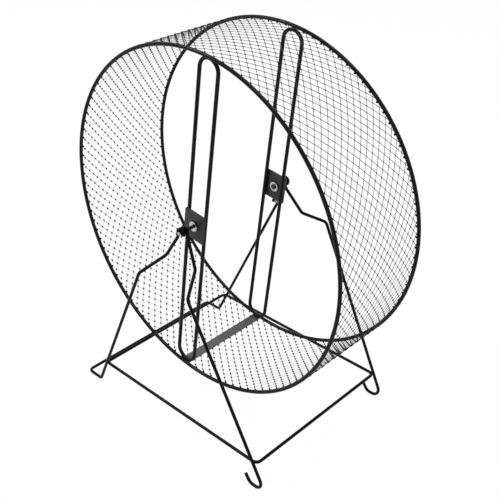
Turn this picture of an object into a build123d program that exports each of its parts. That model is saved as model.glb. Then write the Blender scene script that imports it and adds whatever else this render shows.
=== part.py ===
from build123d import *
import os
from math import cos, degrees, pi, radians, sin, sqrt

# Running wheel for a small pet: two wire hoops with a band of expanded metal between them,
# wire crossbars with hub plates, and a stand of bent wire with hooks for a cage wall.
#
# Millimetres. The origin is on the ground below the middle of the axle, X runs across the
# wheel, Y along the axle and Z up. The front of the wheel is towards -Y.

quarter_turn = 90.0
half_turn = 2 * quarter_turn

# Whole object
wheel_diameter = 280.0      # over the hoops
axle_height = 183.7         # above the ground
hoop_spacing = 90.6         # between the wire centres of the two hoops
hoop_wire = 3.0
crossbar_wire = 3.0
stand_wire = 2.6
base_wire = 2.6
axle_diameter = 2.6
rest_turn = 8.0             # degrees that the wheel stands turned, clockwise from the front
weld_gap = 0.03             # left between pieces that are welded together
overrun = 1.0               # how far a cutting shape runs past what it cuts

# Expanded metal band
mesh_thickness = 0.4
mesh_set_in = 0.1           # the band's outside lies this far inside the hoops' outside
mesh_cells = 100            # diamonds round the wheel, each with its own flat
mesh_rows = 25              # half diamonds along the axle, from one edge's knots to the other's
mesh_panels = 20            # equal lengths that the band is laid in, cut through its knots
quarters = ["bottom", "left", "top", "right"]
knot_length = 0.8           # where four strands meet, measured round the wheel
knot_height = 0.5           # the same, measured along the axle
strand_lean = 1.6           # how far a strand leans along the axle for each unit outwards
strap_width = 8.0           # flat strip that covers the band's seam
strap_thickness = 0.8
strap_end_gap = 0.3

# Crossbars and hubs
crossbar_slot_width = 18.1  # between the wire centres of the two long sides
crossbar_inset = 2.2        # the crossbar's plane lies this far inside the hoop's plane
hub_plate_width = 20.6
hub_plate_height = 24.0
hub_plate_thickness = 1.5
hub_plate_corner = 1.0
bush_sleeve_diameter = 5.4
bush_flange_diameter = 9.2
bush_flange_thickness = 1.0
bush_rim_round = 0.4
bush_dish_diameter = 4.6    # mouth of the shallow cone on each face of the bush
bush_dish_depth = 0.6
axle_clearance = 0.05       # radial, between the axle pin and the bush
axle_head_diameter = 4.4
axle_head_height = 1.0
dome_share = 0.85           # how much of the pin head's height is rounded
axle_end_play = 0.4         # between the bush and the head of the pin
axle_tail = 0.6             # length of pin that shows past the eye

# Eye that the legs' wire makes round each axle pin
eye_reach = 57.6            # from the middle of the wheel to the middle of the eye
eye_half_turns = 3
eye_turn_gap = 0.5          # between one turn of the eye and the next
eye_clearance = 0.05        # radial, between the pin and the eye
eye_neck = 4.0              # straight wire below the eye before it bends to the leg
eye_neck_bend = 4.0         # bend radii are those of the wire's centre line

# Legs, from the axle: sideways, outwards along the axle and down
upper_knee_spread = 16.1
upper_knee_reach = 61.0
upper_knee_drop = 25.2
lower_knee_spread = 27.1
lower_knee_reach = 80.0
lower_knee_drop = 37.5
knee_bend = 5.0
leg_past_bend = 2.8383      # beyond the start of the base frame's corner, where a leg crosses its side
foot_bend = 4.0
hook_foot_bend = 6.3
hook_length = 15.4          # along the ground, from the foot to where the hook turns up
hook_tip_back = 4.4
hook_tip_rise = 6.8
hook_bend = 6.0
runner_reach = 17.1         # of the ground wire's centre beyond the left legs' feet
runner_bend = 4.0

# Base frame
base_length = 179.8         # across the wheel, between wire centres
base_width = 146.6          # along the axle, between wire centres
base_height = 23.5          # of the wire's centre above the ground
base_bend = 4.5
leg_weld_gap = 0.12

hoop_radius = (wheel_diameter - hoop_wire) / 2
hoop_y = hoop_spacing / 2
crossbar_y = hoop_y - crossbar_inset
plate_inner_y = crossbar_y + crossbar_wire / 2 + weld_gap
plate_outer_y = plate_inner_y + hub_plate_thickness
bore_diameter = axle_diameter + 2 * axle_clearance
mesh_outer_radius = wheel_diameter / 2 - mesh_set_in
half_cell_turn = half_turn / mesh_cells
mesh_inner_radius = mesh_outer_radius * cos(radians(half_cell_turn)) - mesh_thickness
ground_z = stand_wire / 2

axle_origin = Pos(0, 0, axle_height)
wheel_place = axle_origin * Rot(0, rest_turn, 0)


def wire_along(path, diameter):
    """Round wire whose centre line is the path."""
    return sweep((path ^ 0) * Circle(diameter / 2), path=path)


def closed_wire(path, diameter):
    """Round wire along a closed path, one stretch after another."""
    stretches = [wire_along(edge, diameter) for edge in path.edges()]
    return stretches[0].fuse(*stretches[1:])


def rear(piece):
    """The same piece on the other side of the wheel's middle plane."""
    return mirror(piece, about=Plane.XZ)


def make_hoop():
    return Pos(0, -hoop_y, 0) * Torus(hoop_radius, hoop_wire / 2, rotation=(quarter_turn, 0, 0))


def band_half_width():
    """Where the band's edge meets the round side of the hoop's wire."""
    step = hoop_radius - mesh_inner_radius
    chord = sqrt((hoop_wire / 2) ** 2 - step**2)
    return hoop_y - chord - weld_gap


def mesh_hole(turn, y, half_height):
    """Leaning prism through the band for one diamond, at this many degrees round from straight down."""
    half_length = (2 * pi * mesh_outer_radius / mesh_cells - knot_length) / 2
    outline = Polygon((half_length, 0), (0, half_height), (-half_length, 0), (0, -half_height), align=None)
    depth = mesh_thickness + 2 * overrun
    prism = extrude(outline, depth * sqrt(1 + strand_lean**2), dir=(0, -strand_lean, 1))
    start_y = y - strand_lean * depth / 2
    down = Pos(0, start_y, overrun - mesh_inner_radius) * Rot(half_turn, 0, 0)
    return Rot(0, -turn, 0) * down * prism


def make_mesh_panel():
    """One length of the band, its ends cut through the middle of a row of knots."""
    half_width = band_half_width()
    half_steps = mesh_cells // mesh_panels
    inner_corner = mesh_inner_radius / cos(radians(half_cell_turn))
    turns = [radians(step * half_cell_turn) for step in range(-half_steps, half_steps + 1, 2)]
    outer_edge = [(mesh_outer_radius * sin(turn), -mesh_outer_radius * cos(turn)) for turn in turns]
    inner_edge = [(inner_corner * sin(turn), -inner_corner * cos(turn)) for turn in reversed(turns)]
    panel = extrude(Plane.XZ * Polygon(*outer_edge, *inner_edge, align=None), half_width, both=True)
    row_step = (2 * half_width - knot_height) / mesh_rows
    half_height = row_step - knot_height / 2
    holes = []
    for step in range(-half_steps, half_steps + 1):
        for row in range(mesh_rows + 1):
            if (step + row) % 2 == 0:
                y = (row - mesh_rows / 2) * row_step
                holes.append(mesh_hole(step * half_cell_turn, y, half_height))
    return panel - holes


def make_mesh():
    """The band in four quarters, each of neighbouring panels, starting straight down from the axle."""
    panel = make_mesh_panel()
    panels_each = mesh_panels // len(quarters)
    nodes = {}
    for index, quarter in enumerate(quarters):
        first = index * panels_each - panels_each // 2
        turns = [number * 2 * half_turn / mesh_panels for number in range(first, first + panels_each)]
        nodes[f"running_mesh_{quarter}"] = Compound(
            [(wheel_place * Rot(0, turn, 0) * panel).solid() for turn in turns]
        )
    return nodes


def make_seam_strap():
    """Strip over the seam of the band, inside it, straight down from the axle."""
    outer_radius = mesh_inner_radius - weld_gap
    half_width = hoop_y - hoop_wire / 2 - strap_end_gap
    angle = degrees(strap_width / outer_radius)
    section = Pos(outer_radius - strap_thickness / 2, 0, 0) * Rectangle(strap_thickness, 2 * half_width)
    strip = revolve(section, axis=Axis.Y, revolution_arc=angle)
    return Rot(0, quarter_turn - angle / 2, 0) * strip


def make_crossbar():
    """Long closed loop of wire, standing, with round ends that meet the hoop's inside."""
    touch = (hoop_wire + crossbar_wire) / 2 + weld_gap
    half_length = hoop_radius - sqrt(touch**2 - crossbar_inset**2)
    bend = crossbar_slot_width / 2
    straight = half_length - bend
    side = Pos(bend, 0, 0) * Cylinder(crossbar_wire / 2, 2 * straight)
    end = Pos(0, 0, straight) * revolve(
        Pos(bend, 0, 0) * Circle(crossbar_wire / 2), axis=Axis.Y, revolution_arc=-half_turn
    )
    loop = side + mirror(side, about=Plane.YZ) + end + mirror(end, about=Plane.XY)
    return Pos(0, -crossbar_y, 0) * loop


def make_hub_plate():
    outline = RectangleRounded(hub_plate_width, hub_plate_height, hub_plate_corner)
    sheet = extrude(outline - Circle(bush_sleeve_diameter / 2), hub_plate_thickness)
    return Pos(0, -plate_inner_y, 0) * Rot(quarter_turn, 0, 0) * sheet


def make_hub_bush():
    """Flanged eyelet clamped in the plate, with a shallow cone on each face."""
    length = hub_plate_thickness + 2 * bush_flange_thickness
    flange = Cylinder(bush_flange_diameter / 2, bush_flange_thickness)
    rim = flange.edges().filter_by(GeomType.CIRCLE).sort_by(Axis.Z)[-1]
    flange = fillet(rim, bush_rim_round)
    flange_offset = (hub_plate_thickness + bush_flange_thickness) / 2
    bush = Cylinder(bush_sleeve_diameter / 2, hub_plate_thickness)
    bush += Pos(0, 0, flange_offset) * flange
    bush += mirror(Pos(0, 0, flange_offset) * flange, about=Plane.XY)
    bush -= Cylinder(bore_diameter / 2, length + 2 * overrun)
    dish = Cone(bore_diameter / 2, bush_dish_diameter / 2, bush_dish_depth)
    dish = Pos(0, 0, (length - bush_dish_depth) / 2) * dish
    bush = bush - dish - mirror(dish, about=Plane.XY)
    middle = (plate_inner_y + plate_outer_y) / 2
    return Pos(0, -middle, 0) * Rot(quarter_turn, 0, 0) * bush


def make_axle_pin():
    """Short axle from the eye through the bush, with a domed head inside the wheel."""
    head_y = plate_inner_y - bush_flange_thickness - axle_end_play
    tail_y = eye_reach + eye_depth() / 2 + axle_tail
    shank = Cylinder(axle_diameter / 2, tail_y - head_y, align=(Align.CENTER, Align.CENTER, Align.MIN))
    shank = Pos(0, -head_y, 0) * Rot(quarter_turn, 0, 0) * shank
    head = Cylinder(axle_head_diameter / 2, axle_head_height, align=(Align.CENTER, Align.CENTER, Align.MIN))
    crown = head.edges().filter_by(GeomType.CIRCLE).sort_by(Axis.Z)[-1]
    head = fillet(crown, axle_head_height * dome_share)
    head = Pos(0, -head_y, 0) * Rot(-quarter_turn, 0, 0) * head
    return axle_origin * (shank + head)


def eye_pitch():
    return stand_wire + eye_turn_gap


def eye_depth():
    """Length of the eye along the axle, over the wire."""
    return eye_half_turns * eye_pitch() / 2 + stand_wire


def eye_turns():
    """Half turns of wire round the pin. The first starts at the left, furthest out."""
    radius = axle_diameter / 2 + eye_clearance + stand_wire / 2
    half_step = eye_pitch() / 2
    start_y = -eye_reach - eye_half_turns * half_step / 2
    crest = sqrt(radius**2 + (half_step / 2) ** 2)
    turns = []
    for number in range(eye_half_turns):
        side = -1 if number % 2 == 0 else 1
        y = start_y + number * half_step
        first = (side * radius, y, axle_height)
        middle = (0, y + half_step / 2, axle_height - side * crest)
        last = (-side * radius, y + half_step, axle_height)
        turns.append(ThreePointArc(first, middle, last))
    return turns


def leg_line():
    """Lower knee and foot of a leg, the leg leaning on the outside of the base frame's corner."""
    knee_z = axle_height - lower_knee_drop
    run_share = (knee_z - base_height) / (knee_z - ground_z)
    x_at_base = base_length / 2 - base_bend + leg_past_bend
    touch = (stand_wire + base_wire) / 2 + leg_weld_gap
    y_at_base = base_width / 2 - base_bend + sqrt((base_bend + touch) ** 2 - leg_past_bend**2)
    foot_x = lower_knee_spread + (x_at_base - lower_knee_spread) / run_share
    foot_y = lower_knee_reach + (y_at_base - lower_knee_reach) / run_share
    return knee_z, foot_x, foot_y


def make_leg_wire():
    """Front leg wire: right hook, right leg, eye, left leg and left foot in one bend line."""
    knee_z, foot_x, foot_y = leg_line()
    turns = eye_turns()
    right_end = turns[-1] @ 1
    left_end = turns[0] @ 0
    upper_z = axle_height - upper_knee_drop
    toe_x = foot_x - hook_length
    right = FilletPolyline(
        (toe_x - hook_tip_back, -foot_y, ground_z + hook_tip_rise),
        (toe_x, -foot_y, ground_z),
        (foot_x, -foot_y, ground_z),
        (lower_knee_spread, -lower_knee_reach, knee_z),
        (upper_knee_spread, -upper_knee_reach, upper_z),
        (right_end.X, right_end.Y, axle_height - eye_neck),
        (right_end.X, right_end.Y, axle_height),
        radius=[hook_bend, hook_foot_bend, knee_bend, knee_bend, eye_neck_bend],
    )
    left = FilletPolyline(
        (left_end.X, left_end.Y, axle_height),
        (left_end.X, left_end.Y, axle_height - eye_neck),
        (-upper_knee_spread, -upper_knee_reach, upper_z),
        (-lower_knee_spread, -lower_knee_reach, knee_z),
        (-foot_x, -foot_y, ground_z),
        (-foot_x - runner_reach / 2, -foot_y, ground_z),
        radius=[eye_neck_bend, knee_bend, knee_bend, foot_bend],
    )
    path = Wire(right.edges() + ShapeList(turns) + left.edges())
    return wire_along(path, stand_wire)


def make_ground_runner():
    """Wire on the ground that joins the two left feet."""
    _, foot_x, foot_y = leg_line()
    path = FilletPolyline(
        (-foot_x - runner_reach / 2, -foot_y, ground_z),
        (-foot_x - runner_reach, -foot_y, ground_z),
        (-foot_x - runner_reach, foot_y, ground_z),
        (-foot_x - runner_reach / 2, foot_y, ground_z),
        radius=runner_bend,
    )
    return wire_along(path, stand_wire)


def make_base_frame():
    """Closed rectangle of wire, a little above the ground, that the legs are welded to."""
    corner_x = base_length / 2
    corner_y = base_width / 2
    path = FilletPolyline(
        (-corner_x, -corner_y, base_height),
        (corner_x, -corner_y, base_height),
        (corner_x, corner_y, base_height),
        (-corner_x, corner_y, base_height),
        radius=base_bend,
        close=True,
    )
    return closed_wire(path, base_wire)


def make_pieces():
    hoop = wheel_place * make_hoop()
    crossbar = wheel_place * make_crossbar()
    hub_plate = wheel_place * make_hub_plate()
    hub_bush = wheel_place * make_hub_bush()
    axle_pin = make_axle_pin()
    leg_wire = make_leg_wire()
    pieces = {
        "front_hoop": hoop,
        "rear_hoop": rear(hoop),
        **make_mesh(),
        "seam_strap": wheel_place * make_seam_strap(),
        "front_crossbar": crossbar,
        "rear_crossbar": rear(crossbar),
        "front_hub_plate": hub_plate,
        "rear_hub_plate": rear(hub_plate),
        "front_hub_bush": hub_bush,
        "rear_hub_bush": rear(hub_bush),
        "front_axle_pin": axle_pin,
        "rear_axle_pin": rear(axle_pin),
        "front_leg_wire": leg_wire,
        "rear_leg_wire": rear(leg_wire),
        "ground_runner": make_ground_runner(),
        "base_frame": make_base_frame(),
    }
    return pieces


os.makedirs("parts", exist_ok=True)
for name, piece in make_pieces().items():
    export_step(piece, f"parts/{name}.step", write_pcurves=False)
    print(name, len(piece.solids()), "solids", round(piece.volume, 1), "mm3", piece.is_valid)
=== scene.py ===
from math import cos, pi, radians, sin

import bpy
from mathutils import Matrix, Vector


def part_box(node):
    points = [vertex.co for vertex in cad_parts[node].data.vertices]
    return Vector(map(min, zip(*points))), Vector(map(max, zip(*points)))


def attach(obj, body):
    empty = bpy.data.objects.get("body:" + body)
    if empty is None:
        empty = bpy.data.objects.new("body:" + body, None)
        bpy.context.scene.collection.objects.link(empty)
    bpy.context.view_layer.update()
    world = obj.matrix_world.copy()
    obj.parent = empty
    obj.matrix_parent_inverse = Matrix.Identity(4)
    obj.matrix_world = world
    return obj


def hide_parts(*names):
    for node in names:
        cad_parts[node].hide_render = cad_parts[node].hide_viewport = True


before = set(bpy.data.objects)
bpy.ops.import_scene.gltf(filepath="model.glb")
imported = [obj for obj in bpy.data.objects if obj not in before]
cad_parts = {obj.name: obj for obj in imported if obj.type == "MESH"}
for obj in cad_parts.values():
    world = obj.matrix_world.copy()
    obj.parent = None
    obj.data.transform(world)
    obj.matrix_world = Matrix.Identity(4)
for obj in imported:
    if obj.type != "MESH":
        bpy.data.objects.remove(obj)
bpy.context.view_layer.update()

# Camera, fitted to the hoops, legs and base frame in the photograph: degrees, metres and pixels
image_side = 500.0
wheel_centre = Vector((0.0, 0.0, 0.1837))
camera_azimuth = 44.424      # from the front towards the right
camera_elevation = 27.985
camera_roll = 0.719          # of the picture, anticlockwise
camera_distance = 0.6972     # from the wheel's centre
focal_pixels = 888.0
centre_pixel = (236.49, 205.10)  # where the wheel's centre falls
sensor_width = 36.0
clip_start = 0.05
clip_end = 20.0

# Expanded metal band, in the same places as the part's own, in millimetres
mm_in_metre = 1000
rest_turn = 8.0              # degrees that the wheel stands turned, clockwise from the front
band_radius = 139.9          # of the band's outside, at the corners between its flats
band_depth = 0.4
cells_round = 100            # diamonds round the wheel
half_rows = 25               # half diamonds along the axle
last_knot = 43.85            # along the axle, of the knots that touch the hoops
strand_width = 0.14          # along the axle
strand_depth = 0.18          # outwards
strand_lean = 1.6            # along the axle for each unit outwards
strand_climb = -0.6          # outwards, from a strand's front end to its rear end
strand_dip = 0.25            # how far a strand's end runs into the knot
knot_length = 1.3            # round the wheel
knot_width = 0.6             # along the axle
knot_depth = 0.85            # outwards
knot_lean = -0.6             # along the axle for each unit outwards
knot_cut = 0.15              # off each corner of a knot
tab_length = 2.1             # of the folded tip of each last diamond, inside its hoop
tab_width = 1.2
tab_depth = 2.2
tab_inset = 1.75             # how far the tab's middle lies inside the band's
tab_reach = 0.25             # of its middle, from the last knot's towards the other hoop
tab_rings = [(-0.5, 0.5), (-0.3, 0.85), (0.0, 1.0), (0.25, 0.7), (0.5, 0.3)]  # height, share of width
tab_sides = 10
quarters = {"bottom": -25, "right": 25, "top": 75, "left": 125}  # first half diamond of each

# Finishes, lengths in metres and scales in cells per metre
black = {"dark": (0.004, 0.004, 0.0045), "light": (0.008, 0.008, 0.009)}
plate_grey = {"dark": (0.016, 0.016, 0.017), "light": (0.026, 0.026, 0.028)}
# The strap's grey is the plates' sheet paint made lighter, a painted sheen for the top light on its
# upward face
strap_sheen_grey = {"dark": (0.05, 0.05, 0.053), "light": (0.075, 0.075, 0.08)}
bare_metal = {"dark": (0.42, 0.42, 0.43), "light": (0.55, 0.55, 0.56), "level": 0.5, "metal": 1.0}
patch_scale = 60.0
patch_detail = 4.0
grain_scale = 1400.0
grain_detail = 3.0
grain_height = 0.00004
grain_strength = 0.6
bright_ring_radius = 0.0041  # the bushes are bare and bright within this, black outside it
bare_end = 0.0002            # of the pins' cut ends, which show bare metal
finish_blur = 0.00005

# Light and floor, in metres and watts
white = (1.0, 1.0, 1.0, 1.0)
world_strength = 0.5
floor_half = 3.0
floor_colour = (0.9, 0.9, 0.9, 1.0)
floor_glow = 0.95            # share of plain white in what the floor shows
# Place, side and power of each lamp
lamps = {
    "key": ((-1.0, -0.7, 1.4), 0.5, 14.0),
    "top": ((0.1, 0.3, 1.5), 0.6, 8.0),
}


def make_camera():
    azimuth = radians(camera_azimuth)
    elevation = radians(camera_elevation)
    right = Vector((cos(azimuth), sin(azimuth), 0.0))
    back = Vector((sin(azimuth) * cos(elevation), -cos(azimuth) * cos(elevation), sin(elevation)))
    up = back.cross(right)
    axes = Matrix((right, up, back)).transposed().to_4x4()
    data = bpy.data.cameras.new("camera")
    data.sensor_fit = "HORIZONTAL"
    data.sensor_width = sensor_width
    data.lens = focal_pixels / image_side * sensor_width
    data.shift_x = (image_side / 2 - centre_pixel[0]) / image_side
    data.shift_y = (centre_pixel[1] - image_side / 2) / image_side
    data.clip_start = clip_start
    data.clip_end = clip_end
    camera = bpy.data.objects.new("camera", data)
    bpy.context.scene.collection.objects.link(camera)
    place = Matrix.Translation(wheel_centre + back * camera_distance)
    camera.matrix_world = place @ axes @ Matrix.Rotation(radians(-camera_roll), 4, "Z")
    bpy.context.scene.camera = camera


class Nodes:
    """Short ways to add and join the nodes of one material."""

    def __init__(self, name):
        self.material = bpy.data.materials.new(name)
        self.material.use_nodes = True
        self.tree = self.material.node_tree
        self.tree.nodes.clear()
        self.output = self.add("ShaderNodeOutputMaterial")

    def add(self, kind, inputs=None, **settings):
        node = self.tree.nodes.new(kind)
        for name, value in settings.items():
            setattr(node, name, value)
        for name, value in (inputs or {}).items():
            if isinstance(value, bpy.types.NodeSocket):
                self.tree.links.new(value, node.inputs[name])
            else:
                node.inputs[name].default_value = value
        return node

    def noise(self, scale, detail):
        place = self.add("ShaderNodeTexCoord")
        inputs = {"Vector": place.outputs["Object"], "Scale": scale, "Detail": detail}
        return self.add("ShaderNodeTexNoise", inputs).outputs["Fac"]

    def spread(self, factor, low, high, start=0.3, end=0.7):
        """Value from low to high while the factor goes from start to end, where most noise lies."""
        inputs = {"Value": factor, "From Min": start, "From Max": end, "To Min": low, "To Max": high}
        return self.add("ShaderNodeMapRange", inputs).outputs["Result"]

    def blend(self, factor, first, second):
        """Mix of two colours. The mix node has its colour sockets at 6, 7 and, going out, 2."""
        colours = {0: factor, 6: (*first, 1.0), 7: (*second, 1.0)}
        return self.add("ShaderNodeMix", colours, data_type="RGBA").outputs[2]

    def coat(self, dark, light, smooth, rough, level, metal=0.0):
        """Paint or plating: slightly uneven in colour and gloss, with a fine grain."""
        patches = self.noise(patch_scale, patch_detail)
        grain = self.noise(grain_scale, grain_detail)
        bump = self.add("ShaderNodeBump", {
            "Height": grain,
            "Distance": grain_height,
            "Strength": grain_strength,
        })
        return self.add("ShaderNodeBsdfPrincipled", {
            "Base Color": self.blend(self.spread(patches, 0.0, 1.0), dark, light),
            "Metallic": metal,
            "Roughness": self.spread(grain, smooth, rough),
            "Specular IOR Level": level,
            "Normal": bump.outputs["Normal"],
        }).outputs["BSDF"]

    def distance(self, keep, centre):
        """Distance from a place, measured only along the axes that keep has 1 for."""
        place = self.add("ShaderNodeTexCoord").outputs["Object"]
        away = self.add("ShaderNodeVectorMath", {0: place, 1: centre}, operation="SUBTRACT").outputs[0]
        flat = self.add("ShaderNodeVectorMath", {0: away, 1: keep}, operation="MULTIPLY").outputs[0]
        return self.add("ShaderNodeVectorMath", {0: flat}, operation="LENGTH").outputs["Value"]

    def finish(self, surface):
        self.tree.links.new(surface, self.output.inputs["Surface"])
        return self.material


def paint(name, **look):
    nodes = Nodes(name)
    return nodes.finish(nodes.coat(**look))


def two_finishes(name, inner, outer, keep, limit):
    """One finish within the limit from the middle of the axle, another beyond it."""
    nodes = Nodes(name)
    away = nodes.distance(keep, wheel_centre)
    beyond = nodes.spread(away, 0.0, 1.0, limit - finish_blur, limit + finish_blur)
    mix = nodes.add("ShaderNodeMixShader", {0: beyond, 1: nodes.coat(**inner), 2: nodes.coat(**outer)})
    return nodes.finish(mix.outputs[0])


def seen_directly(tree):
    """Socket that is 1 where the camera, a reflection or glass looks at something, else 0."""
    path = tree.nodes.new("ShaderNodeLightPath")
    glossy = tree.nodes.new("ShaderNodeMath")
    glossy.operation = "ADD"
    total = tree.nodes.new("ShaderNodeMath")
    total.operation = "ADD"
    tree.links.new(path.outputs["Is Camera Ray"], glossy.inputs[0])
    tree.links.new(path.outputs["Is Glossy Ray"], glossy.inputs[1])
    tree.links.new(glossy.outputs[0], total.inputs[0])
    tree.links.new(path.outputs["Is Transmission Ray"], total.inputs[1])
    return total.outputs[0]


def make_floor():
    """Pale floor that shows as white and keeps a little of the object's shadow."""
    nodes = Nodes("floor")
    diffuse = nodes.add("ShaderNodeBsdfDiffuse", {"Color": floor_colour})
    glow = nodes.add("ShaderNodeEmission", {"Color": white, "Strength": 1.0})
    seen = seen_directly(nodes.tree)
    share = nodes.add("ShaderNodeMath", {0: seen, 1: floor_glow}, operation="MULTIPLY")
    surfaces = {0: share.outputs[0], 1: diffuse.outputs[0], 2: glow.outputs[0]}
    nodes.finish(nodes.add("ShaderNodeMixShader", surfaces).outputs[0])
    mesh = bpy.data.meshes.new("floor")
    corners = [(x * floor_half, y * floor_half, 0) for x, y in ((-1, -1), (1, -1), (1, 1), (-1, 1))]
    mesh.from_pydata(corners, [], [(0, 1, 2, 3)])
    mesh.materials.append(nodes.material)
    floor = bpy.data.objects.new("floor", mesh)
    bpy.context.scene.collection.objects.link(floor)


def make_world():
    """Soft even light, and plain white where something looks at the background."""
    world = bpy.data.worlds.new("world")
    bpy.context.scene.world = world
    world.use_nodes = True
    tree = world.node_tree
    tree.nodes.clear()
    output = tree.nodes.new("ShaderNodeOutputWorld")
    mix = tree.nodes.new("ShaderNodeMixShader")
    tree.links.new(seen_directly(tree), mix.inputs[0])
    for index, strength in ((1, world_strength), (2, 1.0)):
        background = tree.nodes.new("ShaderNodeBackground")
        background.inputs["Color"].default_value = white
        background.inputs["Strength"].default_value = strength
        tree.links.new(background.outputs[0], mix.inputs[index])
    tree.links.new(mix.outputs[0], output.inputs["Surface"])


def make_lamp(name, place, side, power):
    """Square lamp that faces the middle of the wheel."""
    data = bpy.data.lights.new(name, "AREA")
    data.shape = "RECTANGLE"
    data.size = data.size_y = side
    data.energy = power
    lamp = bpy.data.objects.new(name, data)
    bpy.context.scene.collection.objects.link(lamp)
    lamp.location = place
    lamp.rotation_mode = "QUATERNION"
    lamp.rotation_quaternion = (wheel_centre - Vector(place)).to_track_quat("-Z", "Y")


class Band:
    """One quarter of the band as a mesh: u runs round the wheel, v along the axle, z outwards."""

    def __init__(self):
        self.corners = []
        self.faces = []
        # Radius of the sheet's middle
        self.middle = band_radius * cos(pi / cells_round) - band_depth / 2

    def place(self, u, v, z):
        angle = u / band_radius - radians(rest_turn)
        radius = self.middle + z
        return Vector((radius * sin(angle), v, -radius * cos(angle))) / mm_in_metre + wheel_centre

    def prism(self, outline, low, high, lean):
        """Solid from low to high about an outline, leaning along the axle."""
        start = len(self.corners)
        count = len(outline)
        for z in (low, high):
            self.corners.extend(self.place(u, v + lean * z, level + z) for u, v, level in outline)
        self.faces.append(tuple(range(start, start + count)))
        self.faces.append(tuple(range(start + 2 * count - 1, start + count - 1, -1)))
        for index in range(count):
            after = (index + 1) % count
            face = (after, index, count + index, count + after)
            self.faces.append(tuple(start + corner for corner in face))

    def knot(self, u, v):
        """Thick place where four strands meet, an oblong with its corners cut off."""
        a = knot_length / 2
        b = knot_width / 2
        c = knot_cut
        outline = [(-a, c - b), (c - a, -b), (a - c, -b), (a, c - b),
                   (a, b - c), (a - c, b), (c - a, b), (-a, b - c)]
        placed = [(u + x, v + y, 0.0) for x, y in outline]
        self.prism(placed, -knot_depth / 2, knot_depth / 2, knot_lean)

    def strand(self, u, v, way, cell, row):
        """From the knot at (u, v) to the next one round the wheel, one row up or down."""
        start = knot_length / 2 - strand_dip
        end = cell / 2 - start
        slope = (row - knot_width) / (cell / 2 - knot_length)
        rise = knot_width / 2 - strand_dip * slope
        near = rise - strand_width
        far = row - rise
        climb = way * strand_climb / 2
        outline = [(start, way * near, -climb), (end, way * far, climb),
                   (end, way * (far + strand_width), climb), (start, way * rise, -climb)]
        if way < 0:
            outline.reverse()
        placed = [(u + x, v + y, level) for x, y, level in outline]
        self.prism(placed, -strand_depth / 2, strand_depth / 2, strand_lean)

    def tab(self, u, v):
        """Folded tip between a last knot and its hoop, narrower towards the band."""
        start = len(self.corners)
        for height, share in tab_rings:
            z = height * tab_depth - tab_inset
            for side in range(tab_sides):
                turn = 2 * pi * side / tab_sides
                x = u + share * tab_length / 2 * cos(turn)
                y = v + share * tab_width / 2 * sin(turn)
                self.corners.append(self.place(x, y, z))
        last = len(self.corners)
        self.faces.append(tuple(range(start, start + tab_sides)))
        self.faces.append(tuple(range(last - 1, last - tab_sides - 1, -1)))
        for low in range(start, last - tab_sides, tab_sides):
            high = low + tab_sides
            for side in range(tab_sides):
                after = (side + 1) % tab_sides
                self.faces.append((low + after, low + side, high + side, high + after))

    def build(self, name, first_step):
        """All knots of this quarter, with the strands that start from them and the tabs beside them."""
        cell = 2 * pi * band_radius / cells_round
        row = 2 * last_knot / half_rows
        for step in range(first_step, first_step + 2 * cells_round // len(quarters)):
            u = step * cell / 2
            for number in range(half_rows + 1):
                if (step + number) % 2 == 0:
                    continue
                v = number * row - last_knot
                self.knot(u, v)
                if number < half_rows:
                    self.strand(u, v, 1, cell, row)
                if number > 0:
                    self.strand(u, v, -1, cell, row)
                if number in (0, half_rows):
                    self.tab(u, v - tab_reach if number else v + tab_reach)
        mesh = bpy.data.meshes.new(name)
        mesh.from_pydata(self.corners, [], self.faces)
        mesh.update()
        piece = bpy.data.objects.new(name, mesh)
        bpy.context.scene.collection.objects.link(piece)
        return piece


def make_band(material):
    for quarter, first_step in quarters.items():
        piece = Band().build(f"expanded_metal_{quarter}", first_step)
        piece.data.materials.append(material)
        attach(piece, "wheel")
        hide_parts(f"running_mesh_{quarter}")


def dress(names, material):
    for name in names:
        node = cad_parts[name]
        node.data.materials.clear()
        node.data.materials.append(material)


make_camera()
make_floor()
make_world()
for name, lamp in lamps.items():
    make_lamp(name, *lamp)

stand_paint = paint("stand_paint", **black, smooth=0.14, rough=0.24, level=0.04)
wire_paint = paint("wire_paint", **black, smooth=0.14, rough=0.24, level=0.1)
band_paint = paint("band_paint", **black, smooth=0.3, rough=0.45, level=0.15)
plate_paint = paint("plate_paint", **plate_grey, smooth=0.35, rough=0.5, level=0.3)
# Strap: the plates' paint made lighter, a painted sheen standing for the top light
strap_sheen_paint = paint("strap_sheen_paint", **strap_sheen_grey, smooth=0.3, rough=0.45, level=0.5)
bush_plating = two_finishes(
    "bush_plating",
    inner=dict(bare_metal, smooth=0.16, rough=0.28),
    outer=dict(black, smooth=0.2, rough=0.3, level=0.3),
    keep=(1.0, 0.0, 1.0),
    limit=bright_ring_radius,
)
pin_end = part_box("rear_axle_pin")[1][1]
pin_plating = two_finishes(
    "pin_plating",
    inner=dict(black, smooth=0.15, rough=0.25, level=0.5),
    outer=dict(bare_metal, smooth=0.3, rough=0.4),
    keep=(0.0, 1.0, 0.0),
    limit=pin_end - bare_end,
)
dress(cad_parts, stand_paint)
dress(["front_hoop", "rear_hoop", "front_crossbar", "rear_crossbar"], wire_paint)
dress([f"running_mesh_{quarter}" for quarter in quarters], band_paint)
dress(["front_hub_plate", "rear_hub_plate"], plate_paint)
dress(["seam_strap"], strap_sheen_paint)
dress(["front_hub_bush", "rear_hub_bush"], bush_plating)
dress(["front_axle_pin", "rear_axle_pin"], pin_plating)
make_band(band_paint)

bpy.context.scene.view_settings.view_transform = "Standard"
